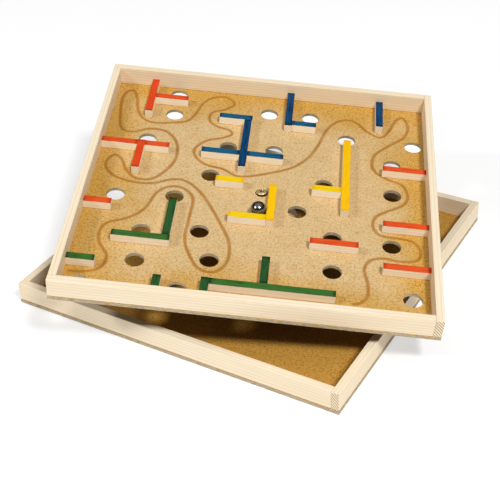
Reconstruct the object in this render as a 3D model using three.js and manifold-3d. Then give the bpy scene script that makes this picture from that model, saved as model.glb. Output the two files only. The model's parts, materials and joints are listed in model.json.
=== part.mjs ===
// Tilt maze game: a shallow base tray carries a wooden ball on which a second tray, the maze, turns and tilts.
// A steel ball is steered along the line drawn on the maze board, past walls and drop holes.
// Units are millimetres, +Z is up, and the origin is the centre of the base tray's underside.

import * as THREE from 'three';
import { mergeVertices } from 'three/addons/utils/BufferGeometryUtils.js';
import Module from 'manifold-3d';

// Trays: both are the same frame of flat strips on a hardboard panel.
const TRAY_WIDTH = 270;
const TRAY_DEPTH = 265;
const PANEL_THICKNESS = 3.2;
const STRIP_THICKNESS = 6;
const STRIP_HEIGHT = 15;

// Maze board: drop holes, walls and the ball that rolls between them.
const DROP_HOLE_RADIUS = 7;
const WALL_WIDTH = 6;
const WALL_HEIGHT = 7;
const STEEL_BALL_RADIUS = 6;

// How the maze tray stands on the base: turned about the upright, front lowered, right side lowered.
const TURN = THREE.MathUtils.degToRad(24.4);
const FRONT_DOWN = THREE.MathUtils.degToRad(8);
const RIGHT_DOWN = THREE.MathUtils.degToRad(6.2);

// Pivot: a wooden ball with sawn flats, a screw, a steel washer and a rubber ring. The tray rests on the ball
// round the screw's head and lifts off it. Ball and centre hole are both set a little off the trays' centres.
const PIVOT_ON_BASE = [3, 2.1];
const PIVOT_ON_BOARD = [2, 0];
const PIVOT_HEIGHT = 61.1;
const PIVOT_BALL_RADIUS = 30;
const PIVOT_BALL_DROP = 2.8;
const PIVOT_FLAT_RADIUS = 8;
const PIVOT_HOLE_RADIUS = 4.8;
const SCREW_LENGTH = 26;
const SCREW_SHANK_RADIUS = 1.75;
const SCREW_HEAD_RADIUS = 4.1;
const SCREW_HEAD_HEIGHT = 1.5;
const SCREW_HEAD_LIFT = 1.6;
const RECESS_SPAN = 4.6;
const RECESS_SLOT = 0.9;
const RECESS_DEPTH = 1.1;
const WASHER_RADIUS = 4;
const WASHER_HOLE_RADIUS = 2.1;
const WASHER_THICKNESS = 1;
const RING_RADIUS = 2.75;
const RING_SECTION_RADIUS = 0.7;

// Clearance left where pieces of the tilted tray meet.
const GAP = 0.3;

const ROUND_STEPS = 48;
const HOLE_STEPS = 16;

// Inner faces of a tray's frame.
const INNER_X = TRAY_WIDTH / 2 - STRIP_THICKNESS;
const INNER_Y = TRAY_DEPTH / 2 - STRIP_THICKNESS;
const HALF_WALL = WALL_WIDTH / 2;

// Drop hole centres on the board, x to the right and y to the back.
const DROP_HOLES = [
  [-77.5, 117.5], [0.5, 103], [35, 103.5],
  [-77.5, 89.5], [66, 77.5], [120.5, 77.5],
  [-94.5, 53], [-29, 52.5], [8, 53.5], [103, 49.5],
  [-39.5, 15], [49.5, 16.5], [103, 12.5],
  [-108, -18.5], [-63.5, -14.5], [30.5, -18],
  [-82.5, -56.5], [-40, -51], [58, -44], [102, -46.5],
  [-82, -88], [-29.5, -80.5], [59, -79.5],
  [-117, -115.5], [-48.5, -112.5], [116.5, -99.5],
];

const PINE = { color: '#ecd3ab', roughness: 0.65, metalness: 0 };
const HARDBOARD = { color: '#cfa368', roughness: 0.75, metalness: 0 };
const BALL_WOOD = { color: '#e0bd8a', roughness: 0.55, metalness: 0 };
const RED = { color: '#e5501e', roughness: 0.5, metalness: 0 };
const BLUE = { color: '#124a78', roughness: 0.5, metalness: 0 };
const YELLOW = { color: '#f6c60e', roughness: 0.5, metalness: 0 };
const GREEN = { color: '#2f6a30', roughness: 0.5, metalness: 0 };
const BRASS = { color: '#c9a04a', roughness: 0.3, metalness: 1 };
const STEEL = { color: '#9a9da1', roughness: 0.15, metalness: 1 };
const RUBBER = { color: '#1c1c1c', roughness: 0.8, metalness: 0 };

const wasm = await Module();
wasm.setup();

function piece(name, geometry, look) {
  const mesh = new THREE.Mesh(geometry, new THREE.MeshStandardMaterial(look));
  mesh.name = name;
  return mesh;
}

// A block between two opposite corners.
function block(x0, x1, y0, y1, z0, z1) {
  const geometry = new THREE.BoxGeometry(x1 - x0, y1 - y0, z1 - z0);
  return geometry.translate((x0 + x1) / 2, (y0 + y1) / 2, (z0 + z1) / 2);
}

// A turned solid about Z from [radius, height] pairs.
function turned(profile, steps = ROUND_STEPS) {
  const points = profile.map(([radius, height]) => new THREE.Vector2(radius, height));
  return new THREE.LatheGeometry(points, steps).rotateX(Math.PI / 2);
}

function toManifold(geometry) {
  const bare = geometry.clone();
  bare.deleteAttribute('normal');
  bare.deleteAttribute('uv');
  const merged = mergeVertices(bare);
  return new wasm.Manifold(new wasm.Mesh({
    numProp: 3,
    vertProperties: new Float32Array(merged.attributes.position.array),
    triVerts: new Uint32Array(merged.index.array),
  }));
}

function fromManifold(solid) {
  const mesh = solid.getMesh();
  const geometry = new THREE.BufferGeometry();
  geometry.setAttribute('position', new THREE.BufferAttribute(mesh.vertProperties, 3));
  geometry.setIndex(new THREE.BufferAttribute(mesh.triVerts, 1));
  geometry.computeVertexNormals();
  return geometry;
}

// A flat panel of the tray's outline, with round holes through it.
function panel(zBottom, holes) {
  const outline = new THREE.Shape();
  outline.moveTo(-TRAY_WIDTH / 2, -TRAY_DEPTH / 2);
  outline.lineTo(TRAY_WIDTH / 2, -TRAY_DEPTH / 2);
  outline.lineTo(TRAY_WIDTH / 2, TRAY_DEPTH / 2);
  outline.lineTo(-TRAY_WIDTH / 2, TRAY_DEPTH / 2);
  outline.closePath();
  for (const { x, y, radius } of holes) {
    const rim = new THREE.Path();
    rim.absarc(x, y, radius, 0, 2 * Math.PI, true);
    outline.holes.push(rim);
  }
  const options = { depth: PANEL_THICKNESS, bevelEnabled: false, curveSegments: HOLE_STEPS };
  return new THREE.ExtrudeGeometry(outline, options).translate(0, 0, zBottom);
}

// The four strips of a tray's frame. The right strip runs the full depth, the front and back strips butt
// against it, and the left strip stands between them.
function frameStrips(prefix, zBottom, gap) {
  const [x, y] = [TRAY_WIDTH / 2, TRAY_DEPTH / 2];
  const zTop = zBottom + STRIP_HEIGHT;
  return [
    piece(`${prefix}_frame_right`, block(INNER_X, x, -y, y, zBottom, zTop), PINE),
    piece(`${prefix}_frame_front`, block(-x, INNER_X - gap, -y, -INNER_Y, zBottom, zTop), PINE),
    piece(`${prefix}_frame_back`, block(-x, INNER_X - gap, INNER_Y, y, zBottom, zTop), PINE),
    piece(`${prefix}_frame_left`, block(-x, -INNER_X, -INNER_Y + gap, INNER_Y - gap, zBottom, zTop), PINE),
  ];
}

// The wooden ball, with a flat glued to the base panel, a flat for the washer and a hole for the screw.
function pivotBall() {
  const centre = PIVOT_HEIGHT - PIVOT_BALL_DROP - PIVOT_BALL_RADIUS;
  const top = Math.acos(Math.sqrt(1 - (PIVOT_FLAT_RADIUS / PIVOT_BALL_RADIUS) ** 2));
  const bottom = Math.acos((PANEL_THICKNESS - centre) / PIVOT_BALL_RADIUS);
  const flat = centre + PIVOT_BALL_RADIUS * Math.cos(top);
  const holeRadius = SCREW_SHANK_RADIUS + GAP / 2;
  const holeEnd = PIVOT_HEIGHT + SCREW_HEAD_LIFT - SCREW_LENGTH - 1;
  const profile = [[0, PANEL_THICKNESS]];
  for (let i = 0; i <= ROUND_STEPS / 2; i++) {
    const angle = bottom + (top - bottom) * i / (ROUND_STEPS / 2);
    profile.push([PIVOT_BALL_RADIUS * Math.sin(angle), centre + PIVOT_BALL_RADIUS * Math.cos(angle)]);
  }
  profile.push([holeRadius, flat], [holeRadius, holeEnd], [0, holeEnd]);
  return piece('pivot_ball', turned(profile), BALL_WOOD);
}

// The cross recess: two crossing slots let into the top of the screw's head.
function crossRecess(zTop) {
  const [reach, half] = [RECESS_SPAN / 2, RECESS_SLOT / 2];
  const [low, high] = [zTop - RECESS_DEPTH, zTop + 1];
  const along = toManifold(block(-reach, reach, -half, half, low, high));
  return along.add(toManifold(block(-half, half, -reach, reach, low, high)));
}

// The pivot screw: a low domed head level with the board's top, and a plain shank down into the ball.
function pivotScrew() {
  const seat = PIVOT_HEIGHT + SCREW_HEAD_LIFT;
  const tip = seat - SCREW_LENGTH;
  const edge = SCREW_HEAD_HEIGHT * 0.6;
  const profile = [[0, tip], [SCREW_SHANK_RADIUS, tip + 2 * SCREW_SHANK_RADIUS]];
  profile.push([SCREW_SHANK_RADIUS, seat], [SCREW_HEAD_RADIUS, seat]);
  const domeSteps = 8;
  for (let i = 0; i <= domeSteps; i++) {
    const angle = Math.PI / 2 * i / domeSteps;
    const height = seat + edge + (SCREW_HEAD_HEIGHT - edge) * Math.sin(angle);
    profile.push([i === domeSteps ? 0 : SCREW_HEAD_RADIUS * Math.cos(angle), height]);
  }
  const solid = toManifold(turned(profile)).subtract(crossRecess(seat + SCREW_HEAD_HEIGHT));
  return piece('pivot_screw', fromManifold(solid), BRASS);
}

// The steel washer that turns on the ball's flat, in the pivot's own frame.
function pivotWasher() {
  const flatDrop = PIVOT_BALL_RADIUS - Math.sqrt(PIVOT_BALL_RADIUS ** 2 - PIVOT_FLAT_RADIUS ** 2);
  const low = -PIVOT_BALL_DROP - flatDrop + GAP;
  const high = low + WASHER_THICKNESS;
  const section = [[WASHER_HOLE_RADIUS, low], [WASHER_RADIUS, low], [WASHER_RADIUS, high]];
  section.push([WASHER_HOLE_RADIUS, high], [WASHER_HOLE_RADIUS, low]);
  return piece('pivot_washer', turned(section, ROUND_STEPS / 2), STEEL);
}

// The rubber ring around the shank, under the head and inside the board's centre hole.
function pivotRing() {
  const ring = new THREE.TorusGeometry(RING_RADIUS, RING_SECTION_RADIUS, ROUND_STEPS / 4, ROUND_STEPS / 2);
  return piece('pivot_ring', ring, RUBBER);
}

// Walls are short strips set on the board, either across it or from front to back.
function wall(name, look, x0, x1, y0, y1) {
  const bottom = PANEL_THICKNESS / 2 + GAP;
  return piece(`wall_${name}`, block(x0, x1, y0, y1, bottom, bottom + WALL_HEIGHT), look);
}

function across(name, look, y, x0, x1) {
  return wall(name, look, x0, x1, y - HALF_WALL, y + HALF_WALL);
}

function lengthwise(name, look, x, y0, y1) {
  return wall(name, look, x - HALF_WALL, x + HALF_WALL, y0, y1);
}

const LEFT_END = -INNER_X + GAP;
const RIGHT_END = INNER_X - GAP;
const FRONT_END = -INNER_Y + GAP;
const BACK_END = INNER_Y - GAP;
const BUTT = HALF_WALL + GAP;

function redWalls() {
  const [backPostX, crossX, crossY] = [-98.5, -97.5, 38.5];
  return [
    lengthwise('red_back_post', RED, backPostX, 82, BACK_END),
    across('red_back_arm', RED, 104, backPostX + BUTT, -68.5),
    lengthwise('red_cross_post', RED, crossX, 7.5, crossY + HALF_WALL),
    across('red_cross_left', RED, crossY, LEFT_END, crossX - BUTT),
    across('red_cross_right', RED, crossY, crossX + BUTT, -75.5),
    across('red_left_stub', RED, -35.5, LEFT_END, -108.5),
    across('red_middle_bar', RED, -56, 41.5, 76.5),
    across('red_right_back', RED, 37, 95, RIGHT_END),
    across('red_right_middle', RED, -29, 95, RIGHT_END),
    across('red_right_front', RED, -75, 95, RIGHT_END),
  ];
}

function blueWalls() {
  const [spineX, armY, crossY, elbowX] = [-16, 85.5, 38, 17];
  return [
    across('blue_top_arm', BLUE, armY, -39.5, spineX + HALF_WALL),
    lengthwise('blue_spine', BLUE, spineX, 21.5, armY - BUTT),
    across('blue_cross_left', BLUE, crossY, -49, spineX - BUTT),
    across('blue_cross_right', BLUE, crossY, spineX + BUTT, 15.5),
    lengthwise('blue_elbow_post', BLUE, elbowX, 81, BACK_END),
    across('blue_elbow_arm', BLUE, 84.5, elbowX + BUTT, 39.5),
    lengthwise('blue_right_post', BLUE, 92, 92, BACK_END),
  ];
}

function yellowWalls() {
  const [cornerX, mastX] = [10.5, 66];
  return [
    across('yellow_left_bar', YELLOW, 4, -34, -13),
    lengthwise('yellow_corner_post', YELLOW, cornerX, -39, 2.5),
    across('yellow_corner_arm', YELLOW, -36, -20.5, cornerX - BUTT),
    lengthwise('yellow_mast', YELLOW, mastX, -19, 68),
    across('yellow_mast_arm', YELLOW, 4.5, 40.5, mastX - BUTT),
  ];
}

function greenWalls() {
  const [footY, stubX, railY] = [-69, -29.5, -108.5];
  return [
    across('green_left_stub', GREEN, -97.5, LEFT_END, -109),
    across('green_elbow_foot', GREEN, footY, -102, -60),
    lengthwise('green_elbow_post', GREEN, -63, footY + BUTT, -25),
    lengthwise('green_front_stub', GREEN, -63, FRONT_END, -108),
    lengthwise('green_rail_end', GREEN, stubX, FRONT_END, railY + HALF_WALL),
    across('green_rail', GREEN, railY, stubX + BUTT, 61.5),
    lengthwise('green_rail_post', GREEN, 11, railY + BUTT, -78.5),
  ];
}

// The steel ball rests in the corner of the yellow walls, the lowest place it can roll to.
function steelBall() {
  const geometry = new THREE.SphereGeometry(STEEL_BALL_RADIUS, 32, 20);
  const ball = piece('steel_ball', geometry, STEEL);
  const [cornerX, armY] = [10.5, -36];
  ball.position.x = cornerX - BUTT - STEEL_BALL_RADIUS;
  ball.position.y = armY + BUTT + STEEL_BALL_RADIUS;
  ball.position.z = PANEL_THICKNESS / 2 + GAP + STEEL_BALL_RADIUS;
  return ball;
}

function baseTray() {
  const group = new THREE.Group();
  group.add(piece('base_panel', panel(0, []), HARDBOARD));
  group.add(...frameStrips('base', PANEL_THICKNESS, 0));
  const pivot = new THREE.Group();
  pivot.position.set(...PIVOT_ON_BASE, 0);
  pivot.add(pivotBall(), pivotScrew());
  group.add(pivot);
  return group;
}

// The maze tray is drawn level, with its origin at the middle of its board.
function mazeTray() {
  const holes = DROP_HOLES.map(([x, y]) => ({ x, y, radius: DROP_HOLE_RADIUS }));
  holes.push({ x: PIVOT_ON_BOARD[0], y: PIVOT_ON_BOARD[1], radius: PIVOT_HOLE_RADIUS });
  const group = new THREE.Group();
  group.add(piece('maze_panel', panel(-PANEL_THICKNESS / 2, holes), HARDBOARD));
  group.add(...frameStrips('maze', PANEL_THICKNESS / 2 + GAP, GAP));
  group.add(...redWalls(), ...blueWalls(), ...yellowWalls(), ...greenWalls());
  group.add(steelBall());
  return group;
}

// The three nested groups are the pivot's three freedoms: turning, then front to back, then side to side.
function tiltedTray() {
  const turn = new THREE.Group();
  turn.position.set(...PIVOT_ON_BASE, PIVOT_HEIGHT);
  turn.rotation.z = TURN;
  const pitch = new THREE.Group();
  pitch.rotation.x = FRONT_DOWN;
  const roll = new THREE.Group();
  roll.rotation.y = RIGHT_DOWN;
  const maze = mazeTray();
  maze.position.set(-PIVOT_ON_BOARD[0], -PIVOT_ON_BOARD[1], 0);
  roll.add(maze);
  pitch.add(pivotRing(), roll);
  turn.add(pivotWasher(), pitch);
  return turn;
}

const tiltMaze = new THREE.Group();
tiltMaze.add(baseTray(), tiltedTray());

export default tiltMaze;
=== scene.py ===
"""The looks of a tilt maze game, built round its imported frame: pine, hardboard, paint, brass and steel."""

import json
import math
import random

import bmesh
import bpy
import numpy as np
from mathutils import Matrix, Vector

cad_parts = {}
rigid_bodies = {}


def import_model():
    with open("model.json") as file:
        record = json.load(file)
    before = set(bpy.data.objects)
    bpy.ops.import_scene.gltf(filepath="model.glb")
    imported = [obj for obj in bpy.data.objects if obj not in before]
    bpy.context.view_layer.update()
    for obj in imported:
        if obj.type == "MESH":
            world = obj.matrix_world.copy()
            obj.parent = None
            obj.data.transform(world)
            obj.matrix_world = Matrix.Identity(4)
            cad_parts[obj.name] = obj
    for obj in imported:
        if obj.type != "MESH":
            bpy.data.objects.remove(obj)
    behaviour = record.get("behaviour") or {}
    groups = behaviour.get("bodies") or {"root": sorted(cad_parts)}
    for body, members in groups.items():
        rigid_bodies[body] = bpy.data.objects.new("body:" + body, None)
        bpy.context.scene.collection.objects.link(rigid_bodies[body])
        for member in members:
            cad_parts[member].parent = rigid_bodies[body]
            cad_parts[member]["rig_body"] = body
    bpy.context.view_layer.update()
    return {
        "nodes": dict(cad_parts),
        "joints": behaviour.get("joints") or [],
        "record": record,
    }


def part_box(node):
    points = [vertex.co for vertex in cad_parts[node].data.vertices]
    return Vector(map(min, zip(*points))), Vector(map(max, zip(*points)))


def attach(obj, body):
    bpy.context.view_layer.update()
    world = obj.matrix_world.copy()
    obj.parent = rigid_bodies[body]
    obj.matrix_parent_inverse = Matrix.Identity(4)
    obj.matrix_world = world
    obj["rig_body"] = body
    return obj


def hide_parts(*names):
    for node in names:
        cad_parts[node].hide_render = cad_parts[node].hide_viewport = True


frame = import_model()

MM = 0.001

# Camera: where it stands, what it looks at, how far it leans and its lens in millimetres.
CAMERA_PLACE = Vector((0.3613, -0.6151, 0.5012))
CAMERA_AIM = Vector((0.0102, -0.0298, 0.040))
CAMERA_LEAN = math.radians(-2.29)
CAMERA_LENS = 78.25
CAMERA_SENSOR = 36

# Lamps: how far off and how wide both are, then the direction and the power in watts of each.
LAMP_AWAY = 3.0
LAMP_SIZE = 0.5
LEFT_LAMP = (-0.41, -0.61, 0.68)
LEFT_POWER = 28.5
RIGHT_LAMP = (0.56, -0.33, 0.78)
RIGHT_POWER = 63

# Surroundings: the sky's brightness at heights from the horizon, 0, to overhead, 1. Then the floor: how
# strongly it glows, how far it reaches and how far below the object it lies.
SKY = ((0.03, 0.62), (0.17, 0.02), (0.5, 0.02), (0.95, 0.5))
FLOOR_GLOW = 0.57
FLOOR_REACH = 14
FLOOR_DROP = 0.2 * MM

# Strips and walls: how much their edges, the walls' edges and the glued edges at their feet are eased,
# and the least share of that at a bar's rounded ends. Then how far apart a bar's sections stand, how far
# it wanders off straight, and how fast its waves may run, in radians a metre.
EASED = 0.4 * MM
WALL_EASED = 0.2 * MM
FOOT_EASED = 0.6 * MM
LEAST_EASED = 0.15
STATION = 9 * MM
WANDER = 0.05 * MM
WAVES = (20, 60)

# Pine: the width of a year's growth, and the angle in degrees and the distance in millimetres at which
# the middle of the tree may lie from the middle of a strip.
RING_SPACING = 1.7 * MM
PITH_ANGLES = (38, 56)
PITH_AWAY = (38, 75)

# Paint: how far it runs down from the top of a wall, how uneven its line is and how softly it ends.
PAINT_DEPTH = 0.35 * MM
PAINT_WAVE = 0.5 * MM
PAINT_SOFT = 0.1 * MM

# Panels: their broken edges, and how far from a hole's centre its own points are looked for.
RIM = 0.3 * MM
DROP_HOLE_SEARCH = 9 * MM
SCREW_HOLE_SEARCH = 6 * MM

# Screw: the radius of its shank, the height of its head and of the head's dome, and how its rim is eased.
SHANK = 1.75 * MM
HEAD_HEIGHT = 1.5 * MM
HEAD_EASED = 0.15 * MM
DOME = 0.9 * MM

# Its thread: how far apart and how high its turns are, how it fades out, the length of the point and the
# share of the shank that is left there, and how much of the neck is plain, with the step up to it.
THREAD_PITCH = 1.4 * MM
THREAD_HEIGHT = 0.35 * MM
THREAD_FADE = 1 * MM
POINT_LENGTH = 3.5 * MM
POINT_BLUNT = 0.12
NECK_LENGTH = 7 * MM
NECK_STEP = 0.5 * MM

# Its cross recess: how far it reaches, half its width, its depth, its cutter's height above the head, how
# much of its reach is left at the bottom, and the depth at which the painted shade in it is darkest.
RECESS_REACH = 2.3 * MM
RECESS_HALF_WIDTH = 0.5 * MM
RECESS_DEPTH = 1.1 * MM
RECESS_ABOVE = 0.4 * MM
RECESS_FOOT = 0.55
RECESS_SHADE_DEPTH = 0.6 * MM

# Washer and ring: the washer's bore and its eased edges, the radius of the ring's section and the share of
# it that its moulding line stands out.
WASHER_BORE = 2.1 * MM
WASHER_EASED = 0.12 * MM
RING_RADIUS = 0.7 * MM
MOULDING_LINE = 0.05

# Wooden ball: how near its top a point counts as on the flat, how far from the middle the points of its
# screw hole are looked for, and how the hole's mouth is eased.
BALL_FLAT_NEAR = 0.1 * MM
BALL_HOLE_SEARCH = 3 * MM
BALL_HOLE_EASED = 0.2 * MM

# The drawn line: its width and height, and its run from the start at the front left to the finish at the
# front right, in board millimetres with x to the right and y to the back.
ROUTE_WIDTH = 4.2 * MM
ROUTE_RISE = 0.03 * MM
ROUTE = [
    (-126, -106), (-116, -105.5), (-107, -102), (-102.5, -95), (-103, -85), (-110, -74), (-112, -62),
    (-108, -52), (-95, -45), (-84, -33), (-78, -14), (-72, -6), (-63, -3), (-54.5, -7), (-49, -17),
    (-49.5, -40), (-49.5, -62), (-43, -80), (-35, -91), (-24, -92), (-16.5, -80), (-17, -61), (-24, -44),
    (-38, -17), (-49, -2), (-59, 5), (-69, 4.5), (-82, -2), (-96, -3), (-111, 1), (-119.5, 9), (-122, 19),
    (-117, 28), (-110.5, 23), (-105, 11), (-96, 2), (-84, 3), (-75, 14), (-69, 30), (-70.5, 50), (-80, 64),
    (-94, 66.5), (-106, 60.5), (-115, 61), (-120, 70), (-124, 100), (-122, 114), (-116, 117), (-112, 107),
    (-108.5, 90), (-102, 79), (-92, 75), (-76, 78), (-66, 82), (-60.5, 93), (-56, 109), (-48, 118.5),
    (-37, 120.5), (-30, 112), (-37, 103), (-47, 97), (-48, 86), (-41, 78.5), (-31, 75.5), (-28, 70),
    (-34, 64.5), (-47, 58), (-55.5, 46), (-53, 35), (-44, 27), (-31, 24), (-20, 17.5), (-10, 18), (6, 24.5),
    (23, 34), (35, 48), (43, 67), (49, 88), (58, 102), (71, 105), (84, 91), (94, 86), (101, 96), (107, 112),
    (113, 116), (117, 104), (113, 88.5), (101, 76), (89.5, 62), (87, 48), (91, 38), (100, 31.5), (111, 26),
    (115, 13), (111, 2), (99, -7), (90, -15), (88, -26), (93, -35), (105, -36.5), (117, -38.5), (123, -47),
    (121, -58), (109, -61.5), (96, -60), (86, -64), (82, -74), (84.5, -88), (84.5, -100), (80, -107.5),
    (74, -110),
]


# ---- the frame's own places --------------------------------------------------------------------------


JOINTS = {joint["name"]: joint for joint in frame["joints"]}
LEVEL = Matrix.Identity(3)
QUARTER = Matrix.Rotation(math.pi / 2, 3, "Z")


def axes_from(right, back):
    """Right, back and up directions as the columns of a matrix, with back turned square to right."""
    up = right.cross(back).normalized()
    return Matrix((right, up.cross(right), up)).transposed()


def joint_axis(name):
    return Vector(JOINTS[name]["axis"])


BOARD = axes_from(-joint_axis("ball_roll").normalized(), joint_axis("tilt_side").normalized())
PIVOT = Vector(JOINTS["turn"]["pos_m"])


def node_points(node, axes=LEVEL):
    """The points of a node's mesh along the given axes."""
    return np.array([v.co for v in frame["nodes"][node].data.vertices], float) @ np.array(axes)


def corners(node, axes=LEVEL):
    """A node's lowest and highest corner along the given axes."""
    points = node_points(node, axes)
    return Vector(points.min(0)), Vector(points.max(0))


def nodes_named(prefix):
    return sorted(name for name in frame["nodes"] if name.startswith(prefix))


BASE_LOW, BASE_HIGH = corners("base_panel")
MAZE_LOW, MAZE_HIGH = corners("maze_panel", BOARD)
MAZE_CENTRE = (MAZE_LOW + MAZE_HIGH) / 2


def place(axes, origin):
    """The place of a piece that stands along the given axes, with its origin given along them too."""
    return Matrix.Translation(axes @ origin) @ axes.to_4x4()


def stand(name, data, where=Matrix.Identity(4)):
    obj = bpy.data.objects.new(name, data)
    bpy.context.scene.collection.objects.link(obj)
    obj.matrix_world = where
    return obj


def put(name, mesh, material, node, where):
    """Stands a new piece in its place, for a node of the frame, riding on that node's body."""
    obj = stand(name, mesh, where)
    mesh.materials.append(material)
    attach(obj, frame["nodes"][node]["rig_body"])
    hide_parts(node)
    return obj


# ---- mesh work ---------------------------------------------------------------------------------------


def shade_smooth(mesh, sharp=None):
    """Smooth shading, broken where faces meet at more than the sharp angle in degrees."""
    mesh.polygons.foreach_set("use_smooth", [True] * len(mesh.polygons))
    if sharp is not None:
        mesh.set_sharp_from_angle(angle=math.radians(sharp))


def mesh_from(name, points, faces):
    mesh = bpy.data.meshes.new(name)
    mesh.from_pydata([tuple(p) for p in points], [], faces)
    mesh.validate()
    mesh.update()
    return mesh


def mesh_of(name, built):
    """The mesh of a finished bmesh, which is freed."""
    mesh = bpy.data.meshes.new(name)
    built.to_mesh(mesh)
    built.free()
    return mesh


def tube_faces(count, size):
    """The faces of a closed tube of count rings of size points, with flat ends. They look outward if each
    ring runs counter-clockwise as seen from the last one's side."""
    faces = []
    for row in range(count - 1):
        for i in range(size):
            a = row * size + i
            b = row * size + (i + 1) % size
            faces.append((a, b, b + size, a + size))
    faces.append(tuple(reversed(range(size))))
    faces.append(tuple(range((count - 1) * size, count * size)))
    return faces


def put_values(mesh, name, values):
    attribute = mesh.attributes.new(name, "FLOAT", "POINT")
    attribute.data.foreach_set("value", np.array(values, np.float32))


def put_seed(mesh, seed):
    attribute = mesh.attributes.new("seed", "FLOAT_VECTOR", "POINT")
    attribute.data.foreach_set("vector", np.tile(np.array(seed, np.float32), len(mesh.vertices)))


def circle(x, y, radius, z, steps):
    turn = 2 * math.pi / steps
    return [(x + radius * math.cos(turn * i), y + radius * math.sin(turn * i), z) for i in range(steps)]


def rectangle(half_x, half_y, z):
    return [(-half_x, -half_y, z), (half_x, -half_y, z), (half_x, half_y, z), (-half_x, half_y, z)]


def rounded_section(width, height, inset, rounding, foot, steps=3):
    """Points round a bar's section, seen along its length, with the untouched section's top at height 0."""
    half = width / 2 - inset
    top = -inset
    bottom = -height + inset
    eased = max(rounding - inset, LEAST_EASED * rounding)
    low = max(foot - inset, LEAST_EASED * foot)
    middles = [
        (half - eased, top - eased, eased, 0),
        (-half + eased, top - eased, eased, 90),
        (-half + low, bottom + low, low, 180),
        (half - low, bottom + low, low, 270),
    ]
    points = []
    for y, z, radius, start in middles:
        for i in range(steps + 1):
            angle = math.radians(start + 90 * i / steps)
            points.append((y + radius * math.cos(angle), z + radius * math.sin(angle)))
    return points


def stations(length, rounding, steps=3):
    """Places along a bar with the inset of its section there: rounded ends and even steps between."""
    ends = []
    for i in range(steps + 1):
        angle = math.radians(90 * i / steps)
        ends.append((-length / 2 + rounding * (1 - math.cos(angle)), rounding * (1 - math.sin(angle))))
    count = max(2, 2 * round(length / STATION / 2))
    reach = length / 2 - rounding
    middle = [(-reach + 2 * reach * i / count, 0.0) for i in range(1, count)]
    return ends + middle + [(-x, inset) for x, inset in reversed(ends)]


def bar_mesh(name, length, width, height, eased, foot, chance):
    """A planed strip of wood along X, its top at height 0, with eased edges and a slightly uneven run."""
    points = []
    from_end = []
    waves = [(chance.uniform(*WAVES), chance.uniform(0, 6.3)) for _ in range(4)]
    places = stations(length, eased)
    for x, inset in places:
        a, b, c, d = (math.sin(wave * x + shift) for wave, shift in waves)
        side = WANDER * a * b
        lift = WANDER * c * d
        section = rounded_section(width - 2 * WANDER, height - WANDER, inset, eased, foot)
        points += [(x, y + side, z - WANDER + lift * (1 + z / height)) for y, z in section]
        from_end += [length / 2 - abs(x)] * len(section)
    mesh = mesh_from(name, points, tube_faces(len(places), len(section)))
    shade_smooth(mesh)
    put_values(mesh, "from_end", from_end)
    return mesh


def pith(chance):
    """Where the middle of the tree lies from the middle of a strip, and a shift along the grain."""
    angle = math.radians(chance.uniform(*PITH_ANGLES))
    reach = chance.uniform(*PITH_AWAY) * MM
    return (chance.uniform(-0.5, 0.5), reach * math.cos(angle), -reach * math.sin(angle))


def wood_bar(node, axes, material, foot=None, eased=EASED, longer=(0, 0)):
    """Replaces a node that is a straight strip, whichever way it runs, down to the given foot if there is
    one. longer is what closes the clearance at its start and its end, so that glued pieces meet."""
    low, high = corners(node, axes)
    if foot is not None:
        low.z = foot
    run = 1 if high.y - low.y > high.x - low.x else 0
    low[run] -= longer[0]
    high[run] += longer[1]
    size = high - low
    lengthwise = size.y > size.x
    length, width = (size.y, size.x) if lengthwise else (size.x, size.y)
    chance = random.Random(node)
    mesh = bar_mesh(node, length, width, size.z, eased, eased if foot is None else FOOT_EASED, chance)
    put_values(mesh, "tone", [0.0 if lengthwise else 1.0] * len(mesh.vertices))
    put_seed(mesh, pith(chance))
    top = Vector(((low.x + high.x) / 2, (low.y + high.y) / 2, high.z))
    turned = axes @ QUARTER if lengthwise else axes
    obj = put(f"{node}_wood", mesh, material, node, Matrix.Translation(axes @ top) @ turned.to_4x4())
    obj.modifiers.new("even_normals", "WEIGHTED_NORMAL").keep_sharp = True


def panel_mesh(name, size, holes, steps=64):
    """A flat panel about its middle, with round holes and slightly broken edges all round."""
    top = size.z / 2
    levels = [(RIM, top), (0, top - RIM), (0, RIM - top), (RIM, -top)]
    outlines = [[rectangle(size.x / 2 - cut, size.y / 2 - cut, z) for cut, z in levels]]
    for x, y, radius in holes:
        outlines.append([circle(x, y, radius + cut, z, steps) for cut, z in levels])
    built = bmesh.new()
    caps = [[], []]
    for rings in outlines:
        loops = [[built.verts.new(p) for p in ring] for ring in rings]
        count = len(loops[0])
        for upper, lower in zip(loops, loops[1:]):
            for i in range(count):
                built.faces.new((upper[i], upper[(i + 1) % count], lower[(i + 1) % count], lower[i]))
        for cap, loop in zip(caps, (loops[0], loops[-1])):
            cap += [built.edges.get((loop[i], loop[(i + 1) % count])) for i in range(count)]
    for cap in caps:
        bmesh.ops.triangle_fill(built, use_beauty=True, use_dissolve=False, edges=cap)
    bmesh.ops.recalc_face_normals(built, faces=built.faces)
    mesh = mesh_of(name, built)
    shade_smooth(mesh, sharp=30)
    return mesh


def turned_mesh(name, profile, steps=96, closed=False, sharp=35):
    """A body turned about Z from (radius, height) pairs, starting and ending on the axis unless closed."""
    points = []
    rows = []
    for radius, z in profile:
        ring = circle(0, 0, radius, z, steps) if radius > 1e-9 else [(0, 0, z)]
        rows.append(list(range(len(points), len(points) + len(ring))))
        points += ring
    faces = []
    pairs = list(zip(rows, rows[1:])) + ([(rows[-1], rows[0])] if closed else [])
    for lower, upper in pairs:
        for i in range(steps):
            j = (i + 1) % steps
            below = [lower[i % len(lower)], lower[j % len(lower)]]
            above = [upper[j % len(upper)], upper[i % len(upper)]]
            faces.append(tuple(dict.fromkeys(below + above)))
    mesh = mesh_from(name, points, faces)
    shade_smooth(mesh, sharp)
    return mesh


# ---- materials ---------------------------------------------------------------------------------------


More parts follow.
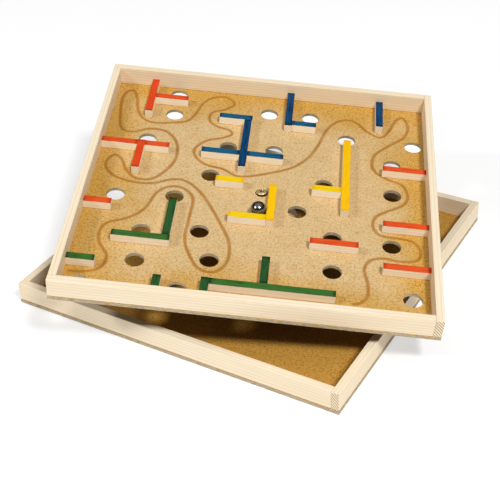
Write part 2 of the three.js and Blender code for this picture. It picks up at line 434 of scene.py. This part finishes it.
def colour(code):
    """A hex colour as linear red, green, blue and alpha."""
    parts = [int(code[i : i + 2], 16) / 255 for i in (1, 3, 5)]
    return tuple((p + 0.055) ** 2.4 / 1.055**2.4 if p > 0.04 else p / 12.92 for p in parts) + (1.0,)


class Material:
    """A node material, built up call by call. Sockets are what the calls take and give."""

    def __init__(self, name, roughness=0.5, metallic=0.0, specular=0.5):
        self.material = bpy.data.materials.new(name)
        self.material.use_nodes = True
        self.tree = self.material.node_tree
        self.shader = self.tree.nodes["Principled BSDF"]
        self.shader.inputs["Roughness"].default_value = roughness
        self.shader.inputs["Metallic"].default_value = metallic
        self.shader.inputs["Specular IOR Level"].default_value = specular

    def feed(self, socket, value):
        if isinstance(value, bpy.types.NodeSocket):
            self.tree.links.new(value, socket)
        else:
            socket.default_value = value

    def node(self, kind, inputs=(), **settings):
        made = self.tree.nodes.new(kind)
        for key, value in settings.items():
            setattr(made, key, value)
        for key, value in dict(inputs).items():
            self.feed(made.inputs[key], value)
        return made

    def math(self, operation, a, b=0.0, clamp=False):
        return self.node("ShaderNodeMath", {0: a, 1: b}, operation=operation, use_clamp=clamp).outputs[0]

    def plus(self, a, b):
        return self.math("ADD", a, b)

    def minus(self, a, b):
        return self.math("SUBTRACT", a, b)

    def times(self, a, b, clamp=False):
        return self.math("MULTIPLY", a, b, clamp)

    def step(self, value, start, end):
        """0 before start, 1 after end, smooth between."""
        inputs = {"Value": value, "From Min": start, "From Max": end}
        return self.node("ShaderNodeMapRange", inputs, interpolation_type="SMOOTHSTEP").outputs[0]

    def attribute(self, name, output="Fac"):
        return self.node("ShaderNodeAttribute", attribute_name=name).outputs[output]

    def place(self, stretch=(1, 1, 1), seeded=False):
        """Object coordinates, shifted by the piece's seed if it has one, and scaled along each axis."""
        at = self.node("ShaderNodeTexCoord").outputs["Object"]
        if seeded:
            seed = self.attribute("seed", "Vector")
            at = self.node("ShaderNodeVectorMath", {0: at, 1: seed}, operation="SUBTRACT").outputs[0]
        return self.node("ShaderNodeVectorMath", {0: at, 1: stretch}, operation="MULTIPLY").outputs[0]

    def facing(self, axis):
        """How far a face looks along one axis of its piece, -1 to 1."""
        return self.split(self.node("ShaderNodeTexCoord").outputs["Normal"])[axis]

    def split(self, vector):
        return self.node("ShaderNodeSeparateXYZ", {0: vector}).outputs

    def noise(self, at, scale, detail=3.0, roughness=0.55, distortion=0.0):
        inputs = {
            "Vector": at, "Scale": scale, "Detail": detail, "Roughness": roughness, "Distortion": distortion
        }
        return self.node("ShaderNodeTexNoise", inputs).outputs[0]

    def mix(self, share, a, b, blend="MIX"):
        made = self.node("ShaderNodeMix", data_type="RGBA", blend_type=blend)
        self.feed(made.inputs[0], share)
        self.feed(made.inputs[6], a)
        self.feed(made.inputs[7], b)
        return made.outputs[2]

    def bump(self, height, distance, strength=1.0):
        inputs = {"Height": height, "Distance": distance, "Strength": strength}
        return self.node("ShaderNodeBump", inputs).outputs[0]

    def finish(self, base, roughness=None, normal=None):
        self.feed(self.shader.inputs["Base Color"], base)
        if roughness is not None:
            self.feed(self.shader.inputs["Roughness"], roughness)
        if normal is not None:
            self.feed(self.shader.inputs["Normal"], normal)
        return self.material


def growth_rings(look):
    """0 in each year's early wood, rising to 1 in its late wood, round the pith that the seed gives. Broad
    drift along the strip keeps the rings from running dead straight."""
    parts = look.split(look.place(seeded=True))
    drift = look.noise(look.place((2, 25, 25), seeded=True), 1.0, 2.0)
    squares = look.plus(look.math("POWER", parts[1], 2.0), look.math("POWER", parts[2], 2.0))
    out = look.plus(look.math("SQRT", squares), look.times(drift, 3 * MM))
    phase = look.math("FRACT", look.math("DIVIDE", out, RING_SPACING))
    return look.times(look.step(phase, 0.15, 0.85), look.minus(1.0, look.step(phase, 0.86, 1.0)))


def pine_grain(look, early, late, deep, sawn_colour):
    """The colour and the height of planed pine: growth rings, drawn darker on sawn ends, and fine fibres."""
    ring = growth_rings(look)
    fibre = look.noise(look.place((25, 1400, 1400), seeded=True), 1.0, 4.0, 0.6)
    broad = look.noise(look.place((6, 90, 90), seeded=True), 1.0, 2.0)
    sawn = look.step(look.math("ABSOLUTE", look.facing(0)), 0.6, 0.9)
    base = look.mix(look.times(ring, 0.5), colour(early), colour(late))
    line = look.plus(look.times(look.step(ring, 0.5, 0.9), 0.85), 0.05)
    base = look.mix(look.times(sawn, line), base, colour(sawn_colour))
    base = look.mix(look.times(look.step(fibre, 0.5, 0.75), 0.35), base, colour(deep))
    base = look.mix(look.times(look.step(broad, 0.35, 0.75), 0.3), base, colour(late))
    return base, look.plus(look.times(ring, 0.4), fibre)


def pine():
    look = Material("pine", roughness=0.65, specular=0.2)
    base, height = pine_grain(look, early="#f6e8ce", late="#e8cda4", deep="#dcba88", sawn_colour="#7c5a2c")
    return look.finish(base, normal=look.bump(height, 0.06 * MM, 0.5))


def brushed_paint(look, streak, fresh, worn, dark):
    """Paint that is thin along its streaks, and pooled and darker towards the ends."""
    ends = look.minus(1.0, look.step(look.attribute("from_end"), 0.2 * MM, 3.6 * MM))
    tone = look.plus(look.times(look.attribute("tone"), 0.6), look.times(streak, 1.6))
    paint = look.mix(look.step(tone, 0.55, 1.5), colour(fresh), colour(worn))
    pooled = look.times(look.plus(ends, look.step(streak, 0.5, 0.3)), 0.6, clamp=True)
    return look.mix(pooled, paint, colour(dark))


def painted_pine(name, fresh, worn, dark):
    """Raw pine with brushed paint on its top that ends in an uneven line."""
    look = Material(name, specular=0.12)
    base, height = pine_grain(look, early="#fff6e2", late="#f6e0ba", deep="#e8cc9f", sawn_colour="#c9a878")
    streak = look.noise(look.place((70, 700, 700), seeded=True), 1.0, 4.0, 0.7)
    cloud = look.noise(look.place(seeded=True), 220.0, 3.0)
    paint = brushed_paint(look, streak, fresh, worn, dark)
    top = look.split(look.place())[2]
    edge = look.plus(top, look.times(look.minus(cloud, 0.5), PAINT_WAVE))
    covered = look.step(edge, -PAINT_DEPTH - PAINT_SOFT, -PAINT_DEPTH + PAINT_SOFT)
    base = look.mix(covered, base, paint)
    rough = look.minus(0.62, look.times(covered, look.times(cloud, 0.35)))
    relief = look.plus(look.times(streak, 0.6), look.times(height, 0.3))
    return look.finish(base, roughness=rough, normal=look.bump(relief, 0.05 * MM, 0.5))


def golden_patches(look, cloudy, least):
    """How golden the hardboard is: most near the panel's edges, in clouds inside, and at least so much."""
    parts = look.split(look.place())
    broad = look.noise(look.place(), 16.0, 4.0, 0.6)
    near_x = look.minus(MAZE_HIGH.x - MAZE_CENTRE.x, look.math("ABSOLUTE", parts[0]))
    near_y = look.minus(MAZE_HIGH.y - MAZE_CENTRE.y, look.math("ABSOLUTE", parts[1]))
    inside = look.math("MINIMUM", near_x, near_y)
    wavy = look.plus(inside, look.times(look.minus(broad, 0.5), 110 * MM))
    golden = look.minus(1.0, look.step(wavy, 5 * MM, 60 * MM))
    golden = look.math("MAXIMUM", golden, least)
    return look.math("MAXIMUM", golden, look.times(look.step(cloudy, 0.5, 0.72), 0.35))


def hardboard_base(look, golden_share):
    """The mottled, specked colour of hardboard in panel coordinates, and its relief."""
    at = look.place()
    mottle = look.noise(at, 620.0, 5.0, 0.75, 0.2)
    flecks = look.noise(at, 840.0, 3.0, 0.7)
    cloudy = look.noise(at, 110.0, 4.0, 0.7)
    golden = golden_patches(look, cloudy, golden_share)
    base = look.mix(golden, colour("#d2b17c"), colour("#c3923f"))
    pale = look.mix(golden, colour("#e0c394"), colour("#d7ac5a"))
    dark = look.mix(golden, colour("#a07a46"), colour("#8c6228"))
    # Light and dark mottling, then dark flecks, thicker where the board is golden, and a few pale ones.
    base = look.mix(look.times(look.step(mottle, 0.4, 0.62), 0.7), base, pale)
    base = look.mix(look.times(look.step(cloudy, 0.48, 0.3), 0.5), base, pale)
    base = look.mix(look.times(look.step(mottle, 0.48, 0.36), 0.65), base, dark)
    grouped = look.plus(0.35, look.times(golden, look.step(cloudy, 0.58, 0.42)))
    base = look.mix(look.times(look.step(flecks, 0.57, 0.68), grouped), base, colour("#74501f"))
    base = look.mix(look.times(look.step(flecks, 0.36, 0.26), 0.5), base, colour("#f0d8a8"))
    return base, look.plus(mottle, look.times(flecks, 0.5))


def meshed_back(look):
    """Where a panel faces down, the weave of the wire mesh it was pressed on, and the colour there."""
    under = look.step(look.facing(2), -0.6, -0.9)
    across = look.split(look.place((2400, 2400, 0)))
    weave = look.times(look.math("SINE", across[0]), look.math("SINE", across[1]))
    return under, weave, look.mix(look.step(weave, -0.6, 0.8), colour("#4a3018"), colour("#7a5a38"))


def hardboard(name, golden_share, stain="#ffffff"):
    """A panel of hardboard: a stained and mottled face, layered edges and a dark meshed back."""
    look = Material(name, roughness=0.75, specular=0.12)
    base, height = hardboard_base(look, golden_share)
    base = look.mix(1.0, base, colour(stain), "MULTIPLY")
    layers = look.noise(look.place((250, 250, 2600)), 1.0, 3.0, 0.6)
    edge = look.mix(look.step(layers, 0.35, 0.7), colour("#c9bb9f"), colour("#87795f"))
    upright = look.minus(1.0, look.step(look.math("ABSOLUTE", look.facing(2)), 0.3, 0.8))
    base = look.mix(look.times(upright, 0.95), base, edge)
    under, weave, back = meshed_back(look)
    base = look.mix(under, base, back)
    height = look.plus(height, look.times(look.times(under, weave), 2.0))
    return look.finish(base, normal=look.bump(height, 0.09 * MM, 0.6))


def drawn_line():
    """The same hardboard, stained brown along the middle of the line and fading out at its edges."""
    look = Material("drawn_line", roughness=0.75, specular=0.12)
    base, height = hardboard_base(look, 0.0)
    ragged = look.noise(look.place(), 900.0, 3.0)
    heavy = look.noise(look.place(), 70.0, 2.0)
    across = look.plus(look.attribute("across"), look.times(look.minus(ragged, 0.5), 0.5))
    ink = look.minus(1.0, look.step(across, 0.3, 0.92))
    ink = look.times(ink, look.plus(look.times(heavy, 0.6), 0.5))
    base = look.mix(ink, base, colour("#a56c1c"))
    return look.finish(base, normal=look.bump(height, 0.09 * MM, 0.6))


def turned_wood():
    look = Material("ball_wood", roughness=0.5, specular=0.4)
    at = look.place((1, 1, 0.25))
    drift = look.noise(at, 35.0, 2.0)
    phase = look.plus(look.times(look.split(at)[0], 900.0), look.times(drift, 9.0))
    ring = look.step(look.math("SINE", phase), -0.6, 0.9)
    marks = look.noise(look.place((40, 40, 1800)), 1.0, 2.0)
    base = look.mix(look.times(ring, 0.6), colour("#dfb57c"), colour("#bf8a50"))
    base = look.mix(look.times(look.step(marks, 0.5, 0.8), 0.3), base, colour("#a0703c"))
    return look.finish(base, normal=look.bump(marks, 0.05 * MM, 0.5))


def metal(name, bright, dull, roughness, scratch_scale):
    """Bare metal with fine scratches, a little tarnish, and painted shade where the mesh is marked with it.
    """
    look = Material(name, metallic=1.0)
    scratch = look.noise(look.place((1, 1, 8)), scratch_scale, 4.0, 0.7)
    cloud = look.noise(look.place(), scratch_scale / 4, 2.0)
    base = look.mix(look.times(look.step(cloud, 0.4, 0.75), 0.3), colour(bright), colour(dull))
    # Painted shade: dark brown where the mesh is marked, deep in the screw's cross recess.
    base = look.mix(look.attribute("recess_shade"), base, colour("#2b1d0d"))
    rough = look.plus(roughness, look.times(look.step(scratch, 0.5, 0.8), roughness))
    return look.finish(base, roughness=rough, normal=look.bump(scratch, 0.004 * MM, 0.25))


def rubber():
    look = Material("ring_rubber", specular=0.4)
    pores = look.noise(look.place(), 2500.0, 3.0)
    dust = look.noise(look.place(), 500.0, 2.0)
    base = look.mix(look.step(dust, 0.5, 0.8), colour("#1b1b1b"), colour("#3b3a37"))
    rough = look.plus(0.6, look.times(pores, 0.3))
    return look.finish(base, roughness=rough, normal=look.bump(pores, 0.02 * MM, 0.5))


# ---- trays ------------------------------------------------------------------------------------------


def drop_holes():
    """The drop holes' centres on the board, from the record's openings."""
    centres = []
    for opening in frame["record"]["physics"]["openings"]:
        if opening["name"].startswith("drop_hole"):
            low, high = (Vector(corner) for corner in opening["box_m"])
            centres.append(BOARD.transposed() @ ((low + high) / 2) - MAZE_CENTRE)
    return centres


def round_hole(centre, search):
    """A hole's centre and radius, from the maze panel's own points near that centre."""
    points = node_points("maze_panel", BOARD)
    away = np.hypot(points[:, 0] - MAZE_CENTRE.x - centre.x, points[:, 1] - MAZE_CENTRE.y - centre.y)
    return centre.x, centre.y, float(away[away < search].max())


def add_maze_panel(look):
    holes = [round_hole(centre, DROP_HOLE_SEARCH) for centre in drop_holes()]
    holes.append(round_hole(BOARD.transposed() @ PIVOT - MAZE_CENTRE, SCREW_HOLE_SEARCH))
    mesh = panel_mesh("maze_panel", MAZE_HIGH - MAZE_LOW, holes)
    put("maze_panel_board", mesh, look, "maze_panel", place(BOARD, MAZE_CENTRE))


def add_base_panel(look):
    mesh = panel_mesh("base_panel", BASE_HIGH - BASE_LOW, [])
    where = place(LEVEL, (BASE_LOW + BASE_HIGH) / 2)
    put("base_panel_board", mesh, look, "base_panel", where)


def arc_point(a, b, c, d, t):
    """A point on the Catmull-Rom arc from b to c, whose neighbours are a and d."""
    return 0.5 * (2 * b + (c - a) * t + (2 * a - 5 * b + 4 * c - d) * t**2 + (3 * b - a - 3 * c + d) * t**3)


def smooth_path(points, steps=8):
    """A smooth curve through the points."""
    ends = [2 * points[0] - points[1]] + points + [2 * points[-1] - points[-2]]
    path = []
    for arc in zip(ends, ends[1:], ends[2:], ends[3:]):
        path += [arc_point(*arc, i / steps) for i in range(steps)]
    return path + [points[-1]]


def add_route(look):
    """The drawn line as a film of ink that follows the route, a little higher towards its end."""
    path = smooth_path([Vector((x * MM, y * MM)) for x, y in ROUTE])
    top = MAZE_HIGH.z - MAZE_CENTRE.z
    # The film's section: across it and up, as shares of half its width and of its height.
    section = [(1, 0), (0.6, 1), (0, 1.2), (-0.6, 1), (-1, 0), (0, -1)]
    points = []
    across = []
    for i, at in enumerate(path):
        along = (path[min(i + 1, len(path) - 1)] - path[max(i - 1, 0)]).normalized()
        side = Vector((-along.y, along.x)) * ROUTE_WIDTH / 2
        rise = ROUTE_RISE * (1 + i / len(path))
        for offset, height in section:
            points.append((*(at + side * offset), top + rise * height))
            across.append(abs(offset))
    mesh = mesh_from("route", points, tube_faces(len(path), len(section)))
    put_values(mesh, "across", across)
    obj = stand("route_line", mesh, place(BOARD, MAZE_CENTRE))
    mesh.materials.append(look)
    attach(obj, "maze_tray")


def add_base_frame(look):
    for node in nodes_named("base_frame"):
        wood_bar(node, LEVEL, look)


def add_maze_frame(look):
    gap = corners("maze_frame_left", BOARD)[0].z - MAZE_HIGH.z
    longer = {"left": (gap, gap), "right": (0, 0), "front": (0, gap), "back": (0, gap)}
    for side, more in longer.items():
        wood_bar(f"maze_frame_{side}", BOARD, look, foot=MAZE_HIGH.z, longer=more)


def add_walls():
    looks = {
        "red": painted_pine("paint_red", "#dc4418", "#df5424", "#a62c0a"),
        "blue": painted_pine("paint_blue", "#063660", "#165a7c", "#020f20"),
        "yellow": painted_pine("paint_yellow", "#f8bd03", "#efca10", "#e4a600"),
        "green": painted_pine("paint_green", "#234c26", "#3a6a2c", "#0a1f0e"),
    }
    for hue, look in looks.items():
        for node in nodes_named(f"wall_{hue}"):
            gap = corners(node, BOARD)[0].z - MAZE_HIGH.z
            wood_bar(node, BOARD, look, MAZE_HIGH.z, WALL_EASED, (gap, gap))


# ---- pivot and steel ball -----------------------------------------------------------------------------


def add_pivot_ball(look):
    """The wooden ball with its flats and its screw hole, turned more finely than the frame's own."""
    low, high = corners("pivot_ball")
    middle = (low + high) / 2
    radius = (high.x - low.x) / 2
    points = node_points("pivot_ball")
    away = np.hypot(points[:, 0] - middle.x, points[:, 1] - middle.y)
    flat = float(away[points[:, 2] > high.z - BALL_FLAT_NEAR].max())
    mouth = float(away[(points[:, 2] > high.z - MM) & (away < BALL_HOLE_SEARCH)].max())
    centre = high.z - math.sqrt(radius**2 - flat**2)
    foot = math.acos((low.z - centre) / radius)
    top = math.acos((high.z - centre) / radius)
    profile = [(0, low.z)]
    steps = 48
    for i in range(steps + 1):
        angle = foot + (top - foot) * i / steps
        profile.append((radius * math.sin(angle), centre + radius * math.cos(angle)))
    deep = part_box("pivot_screw")[0].z - MM
    profile.append((mouth + BALL_HOLE_EASED, high.z))
    profile.append((mouth, high.z - BALL_HOLE_EASED))
    profile += [(mouth, deep), (0, deep)]
    mesh = turned_mesh("pivot_ball", [(r, z - centre) for r, z in profile])
    where = place(LEVEL, Vector((middle.x, middle.y, centre)))
    put("pivot_ball_turned", mesh, look, "pivot_ball", where)


def thread_points(neck, steps, rows=110):
    """Rings of points up the screw's thread, from its point at height 0 to its end at the neck."""
    points = []
    for row in range(rows + 1):
        z = neck * row / rows
        taper = min(1.0, POINT_BLUNT + z / POINT_LENGTH)
        fade = min(1.0, z / POINT_LENGTH) * min(1.0, (neck - z) / THREAD_FADE)
        for i in range(steps):
            angle = 2 * math.pi * i / steps
            turn = (z / THREAD_PITCH - i / steps) % 1
            crest = max(0.0, 1 - abs(turn - 0.5) * 5)
            radius = (SHANK - THREAD_HEIGHT) * taper + THREAD_HEIGHT * crest * fade
            points.append((radius * math.cos(angle), radius * math.sin(angle), z))
    return points


def head_profile(neck, head, depth, steps=8):
    """(radius, height) pairs up the plain neck, under the head and over the dome, short of the axis."""
    under = depth - HEAD_HEIGHT
    profile = [(SHANK, neck + NECK_STEP), (SHANK, under)]
    profile += [(head - HEAD_EASED, under), (head, under + HEAD_EASED)]
    for i in range(steps):
        angle = math.pi / 2 * i / steps
        profile.append((head * math.cos(angle), depth - DOME + DOME * math.sin(angle)))
    return profile


def screw_mesh(head, depth, steps=24):
    """A wood screw about Z, with its point at height 0 and the top of its dome at the given depth."""
    neck = depth - HEAD_HEIGHT - NECK_LENGTH
    points = thread_points(neck, steps)
    for radius, z in head_profile(neck, head, depth):
        points += circle(0, 0, radius, z, steps)
    count = len(points) // steps
    faces = tube_faces(count, steps)[:-2]
    last = (count - 1) * steps
    points += [(0, 0, 0), (0, 0, depth)]
    for i in range(steps):
        j = (i + 1) % steps
        faces.append((count * steps, j, i))
        faces.append((count * steps + 1, last + i, last + j))
    return mesh_from("pivot_screw", points, faces)


def cross_cutter(depth):
    """Two crossed wedges, narrower at the bottom, that cut the recess into the top of the screw's dome."""
    built = bmesh.new()
    for turned in (False, True):
        rows = []
        for share, z in ((RECESS_FOOT, depth - RECESS_DEPTH), (1.0, depth + RECESS_ABOVE)):
            flat = rectangle(RECESS_REACH * share, RECESS_HALF_WIDTH * (0.7 + 0.3 * share), z)
            rows.append([built.verts.new((-y, x, z) if turned else (x, y, z)) for x, y, z in flat])
        built.faces.new(reversed(rows[0]))
        built.faces.new(rows[1])
        for i in range(4):
            built.faces.new((rows[0][i], rows[0][(i + 1) % 4], rows[1][(i + 1) % 4], rows[1][i]))
    return mesh_of("cross_cutter", built)


def carved(mesh, cutter):
    """The mesh with the cutter's space taken out of it."""
    body = stand("body", mesh)
    tool = stand("tool", cutter)
    modifier = body.modifiers.new("cut", "BOOLEAN")
    modifier.operation = "DIFFERENCE"
    modifier.object = tool
    modifier.solver = "EXACT"
    modifier.use_self = True
    bpy.context.view_layer.update()
    result = bpy.data.meshes.new_from_object(body.evaluated_get(bpy.context.evaluated_depsgraph_get()))
    bpy.data.objects.remove(body)
    bpy.data.objects.remove(tool)
    return result


def painted_recess_shade(mesh, head, depth):
    """How much painted shade each point of the screw gets: none on its surface, and full deep in the recess.
    """
    recess_shade = []
    for vert in mesh.vertices:
        away = min(math.hypot(vert.co.x, vert.co.y), head)
        surface = depth - DOME + DOME * math.sqrt(1 - (away / head) ** 2)
        below = min(1.0, max(0.0, (surface - vert.co.z) / RECESS_SHADE_DEPTH))
        in_recess = away < 0.6 * head and vert.co.z > depth - HEAD_HEIGHT
        recess_shade.append(below if in_recess else 0.0)
    return recess_shade


def add_screw(look):
    """A domed cross-head wood screw: head, plain neck and a rolled thread down to the point."""
    low, high = corners("pivot_screw")
    head = (high.x - low.x) / 2
    depth = high.z - low.z
    mesh = carved(screw_mesh(head, depth), cross_cutter(depth))
    shade_smooth(mesh, sharp=35)
    mesh.materials.clear()
    # The recess's painted shade, kept on the screw's points.
    put_values(mesh, "recess_shade", painted_recess_shade(mesh, head, depth))
    foot = Vector(((low.x + high.x) / 2, (low.y + high.y) / 2, low.z))
    put("pivot_screw_brass", mesh, look, "pivot_screw", place(LEVEL, foot))


def add_washer(look):
    low, high = corners("pivot_washer")
    outer = (high.x - low.x) / 2
    half = (high.z - low.z) / 2
    section = [
        (WASHER_BORE, WASHER_EASED - half),
        (WASHER_BORE + WASHER_EASED, -half),
        (outer - WASHER_EASED, -half),
        (outer, WASHER_EASED - half),
    ]
    section += [(r, -z) for r, z in reversed(section)]
    mesh = turned_mesh("pivot_washer", section, steps=48, closed=True, sharp=60)
    put("pivot_washer_steel", mesh, look, "pivot_washer", place(LEVEL, (low + high) / 2))


def add_ring(look):
    """The rubber ring, with the faint moulding line round its outside. It lies in the plane of both tilts."""
    low, high = corners("pivot_ring")
    reach = (high.x - low.x) / 2 - RING_RADIUS
    steps = 24
    section = []
    for i in range(steps):
        angle = 2 * math.pi * i / steps
        bulge = 1 if i == 0 else 1 - MOULDING_LINE
        out = RING_RADIUS * bulge * math.cos(angle)
        section.append((reach + out, RING_RADIUS * bulge * math.sin(angle)))
    mesh = turned_mesh("pivot_ring", section, steps=48, closed=True, sharp=80)
    axes = axes_from(joint_axis("tilt_front"), joint_axis("tilt_side"))
    put("pivot_ring_rubber", mesh, look, "pivot_ring", place(axes, axes.transposed() @ PIVOT))


def add_steel_ball(look):
    """The ball from an evenly divided cube blown up to a sphere, so that it has no poles."""
    low, high = corners("steel_ball", BOARD)
    radius = (high.z - low.z) / 2
    built = bmesh.new()
    bmesh.ops.create_cube(built, size=2)
    bmesh.ops.subdivide_edges(built, edges=built.edges, cuts=23, use_grid_fill=True)
    for vert in built.verts:
        bent = Vector(math.tan(c * math.pi / 4) for c in vert.co)
        vert.co = bent.normalized() * radius
    mesh = mesh_of("steel_ball", built)
    shade_smooth(mesh)
    put("steel_ball_polished", mesh, look, "steel_ball", place(BOARD, (low + high) / 2))


# ---- studio ------------------------------------------------------------------------------------------


def add_camera():
    data = bpy.data.cameras.new("camera")
    data.lens = CAMERA_LENS
    data.sensor_width = CAMERA_SENSOR
    facing = (CAMERA_AIM - CAMERA_PLACE).to_track_quat("-Z", "Y").to_matrix()
    facing = facing @ Matrix.Rotation(CAMERA_LEAN, 3, "Z")
    camera = stand("camera", data, Matrix.Translation(CAMERA_PLACE) @ facing.to_4x4())
    bpy.context.scene.camera = camera


def add_lamp(name, toward, power):
    """A round soft lamp that stands off from the board in the given direction and faces it."""
    data = bpy.data.lights.new(name, "AREA")
    data.shape = "DISK"
    data.size = LAMP_SIZE
    data.energy = power
    direction = Vector(toward).normalized()
    facing = direction.to_track_quat("Z", "Y").to_matrix()
    stand(name, data, Matrix.Translation(BOARD @ MAZE_CENTRE + direction * LAMP_AWAY) @ facing.to_4x4())


def add_sky():
    """Surroundings that are pale at the horizon, dark above it and bright overhead."""
    world = bpy.data.worlds.new("studio")
    world.use_nodes = True
    tree = world.node_tree
    above = tree.nodes.new("ShaderNodeSeparateXYZ")
    tree.links.new(tree.nodes.new("ShaderNodeTexCoord").outputs["Generated"], above.inputs[0])
    shade = tree.nodes.new("ShaderNodeValToRGB")
    stops = shade.color_ramp.elements
    for height, light in SKY[1:-1]:
        stops.new(height)
    for stop, (height, light) in zip(stops, SKY):
        stop.position = height
        stop.color = (light, light, light, 1)
    tree.links.new(above.outputs["Z"], shade.inputs[0])
    tree.links.new(shade.outputs[0], tree.nodes["Background"].inputs["Color"])
    bpy.context.scene.world = world
    bpy.context.scene.view_settings.view_transform = "Standard"


def add_floor():
    built = bmesh.new()
    bmesh.ops.create_grid(built, x_segments=8, y_segments=8, size=FLOOR_REACH)
    mesh = mesh_of("floor", built)
    look = Material("floor_paper", roughness=0.9, specular=0.1)
    tone = look.noise(look.place(), 4.0, 2.0)
    look.shader.inputs["Emission Color"].default_value = (1, 1, 1, 1)
    look.shader.inputs["Emission Strength"].default_value = FLOOR_GLOW
    mesh.materials.append(look.finish(look.mix(tone, (0.5, 0.5, 0.5, 1), (0.53, 0.53, 0.53, 1))))
    stand("floor", mesh, Matrix.Translation((0, 0, -FLOOR_DROP)))


wood = pine()
maze_board = hardboard("hardboard_maze", 0.0)
base_board = hardboard("hardboard_base", 0.85, stain="#ede2c0")
add_maze_panel(maze_board)
add_base_panel(base_board)
add_route(drawn_line())
add_base_frame(wood)
add_maze_frame(wood)
add_walls()
add_pivot_ball(turned_wood())
add_screw(metal("screw_brass", "#fbe9b4", "#d8bc7c", 0.42, 900.0))
add_washer(metal("washer_steel", "#a9acb0", "#85878a", 0.3, 1500.0))
add_ring(rubber())
add_steel_ball(metal("ball_steel", "#8a8784", "#74716e", 0.19, 600.0))
add_camera()
add_sky()
add_lamp("left_lamp", LEFT_LAMP, LEFT_POWER)
add_lamp("right_lamp", RIGHT_LAMP, RIGHT_POWER)
add_floor()
